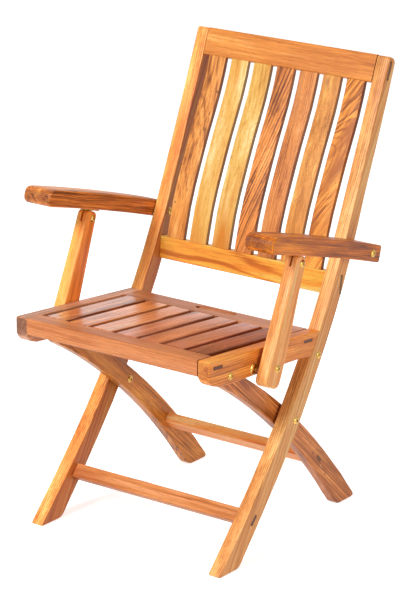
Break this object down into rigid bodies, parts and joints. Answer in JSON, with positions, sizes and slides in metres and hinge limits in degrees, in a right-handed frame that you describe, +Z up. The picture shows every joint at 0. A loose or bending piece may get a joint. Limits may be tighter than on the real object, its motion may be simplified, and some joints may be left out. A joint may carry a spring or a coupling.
{
  "type": "folding armchair",
  "caption": "Folding teak armchair with curved posts, slatted seat and back, sloping armrests on pivoting supports and crossed rear legs on brass bolts; shown open.",
  "frame": {"origin": "on the floor under the middle of the chair's outer size", "axes": "+Z up, the chair faces -Y, +X to the sitter's left"},
  "size_m": [0.589, 0.604, 0.8983],
  "materials": {
    "teak_gold": "oiled teak, yellow-gold with brown stripes",
    "teak_orange": "oiled teak, orange-brown with fine streaks",
    "teak_slat": "oiled teak, each slat of another figure, from yellow-gold to reddish",
    "teak_seat": "oiled teak with a soft sheen",
    "teak_red": "oiled teak, reddish brown",
    "teak_dark": "oiled teak, dark reddish brown",
    "brass": "plain brass, slightly dulled"
  },
  "bodies": {
    "leg_frame": {"rear_leg_left": "teak_dark", "rear_leg_right": "teak_dark", "rear_stretcher": "teak_orange", "seat_bolt_left": "brass", "seat_bolt_right": "brass", "leg_washer_left": "brass", "leg_washer_right": "brass", "seat_washer_left": "brass", "seat_washer_right": "brass"},
    "back_frame": {"post_left": "teak_gold", "post_right": "teak_gold", "back_top_rail": "teak_orange", "back_bottom_rail": "teak_orange", "front_stretcher": "teak_orange", "back_slat_1": "teak_slat", "back_slat_2": "teak_slat", "back_slat_3": "teak_slat", "back_slat_4": "teak_slat", "back_slat_5": "teak_slat", "back_slat_6": "teak_slat", "back_slat_7": "teak_slat", "leg_bolt_left": "brass", "leg_bolt_right": "brass", "rest_pin_left": "brass", "rest_pin_right": "brass", "arm_bolt_left": "brass", "arm_bolt_right": "brass"},
    "seat_frame": {"seat_side_rail_left": "teak_red", "seat_side_rail_right": "teak_red", "seat_front_rail": "teak_red", "seat_rear_rail": "teak_orange", "seat_slat_1": "teak_seat", "seat_slat_2": "teak_seat", "seat_slat_3": "teak_seat", "seat_slat_4": "teak_seat", "seat_slat_5": "teak_seat", "seat_slat_6": "teak_seat", "seat_slat_7": "teak_seat", "seat_rest_left": "teak_dark", "seat_rest_right": "teak_dark", "seat_foot_bolt_left": "brass", "seat_foot_bolt_right": "brass"},
    "arm_left": {"armrest_left": "teak_dark", "arm_bracket_left": "brass"},
    "arm_right": {"armrest_right": "teak_dark", "arm_bracket_right": "brass"},
    "support_left": {"arm_support_left": "teak_orange", "support_top_bolt_left": "brass", "support_foot_bolt_left": "brass", "support_washer_left": "brass"},
    "support_right": {"arm_support_right": "teak_orange", "support_top_bolt_right": "brass", "support_foot_bolt_right": "brass", "support_washer_right": "brass"}
  },
  "joints": [
    {"name": "back_fold", "type": "hinge", "parent": "leg_frame", "child": "back_frame", "pos_m": [0, -0.02285, 0.24353], "axis": [1, 0, 0], "range_deg": [0, 70]},
    {"name": "seat_fold", "type": "hinge", "parent": "leg_frame", "child": "seat_frame", "pos_m": [0, -0.23515, 0.39348], "axis": [1, 0, 0], "range_deg": [0, 136.01]},
    {"name": "armrest_fold_left", "type": "hinge", "parent": "back_frame", "child": "arm_left", "pos_m": [0.259, 0.14808, 0.54596], "axis": [-1, 0, 0], "range_deg": [0, 106.16]},
    {"name": "support_fold_left", "type": "hinge", "parent": "arm_left", "child": "support_left", "pos_m": [0.2497, -0.05535, 0.57159], "axis": [1, 0, 0], "range_deg": [0, 86.47]},
    {"name": "armrest_fold_right", "type": "hinge", "parent": "back_frame", "child": "arm_right", "pos_m": [-0.259, 0.14808, 0.54596], "axis": [-1, 0, 0], "range_deg": [0, 106.16]},
    {"name": "support_fold_right", "type": "hinge", "parent": "arm_right", "child": "support_right", "pos_m": [-0.2497, -0.05535, 0.57159], "axis": [1, 0, 0], "range_deg": [0, 86.47]}
  ],
  "couplings": [
    {"joint": "seat_fold", "follows": "back_fold", "ratio": 1.9429},
    {"joint": "armrest_fold_left", "follows": "back_fold", "ratio": 1.5164},
    {"joint": "support_fold_left", "follows": "back_fold", "ratio": 1.2352},
    {"joint": "armrest_fold_right", "follows": "back_fold", "ratio": 1.5164},
    {"joint": "support_fold_right", "follows": "back_fold", "ratio": 1.2352}
  ]
}
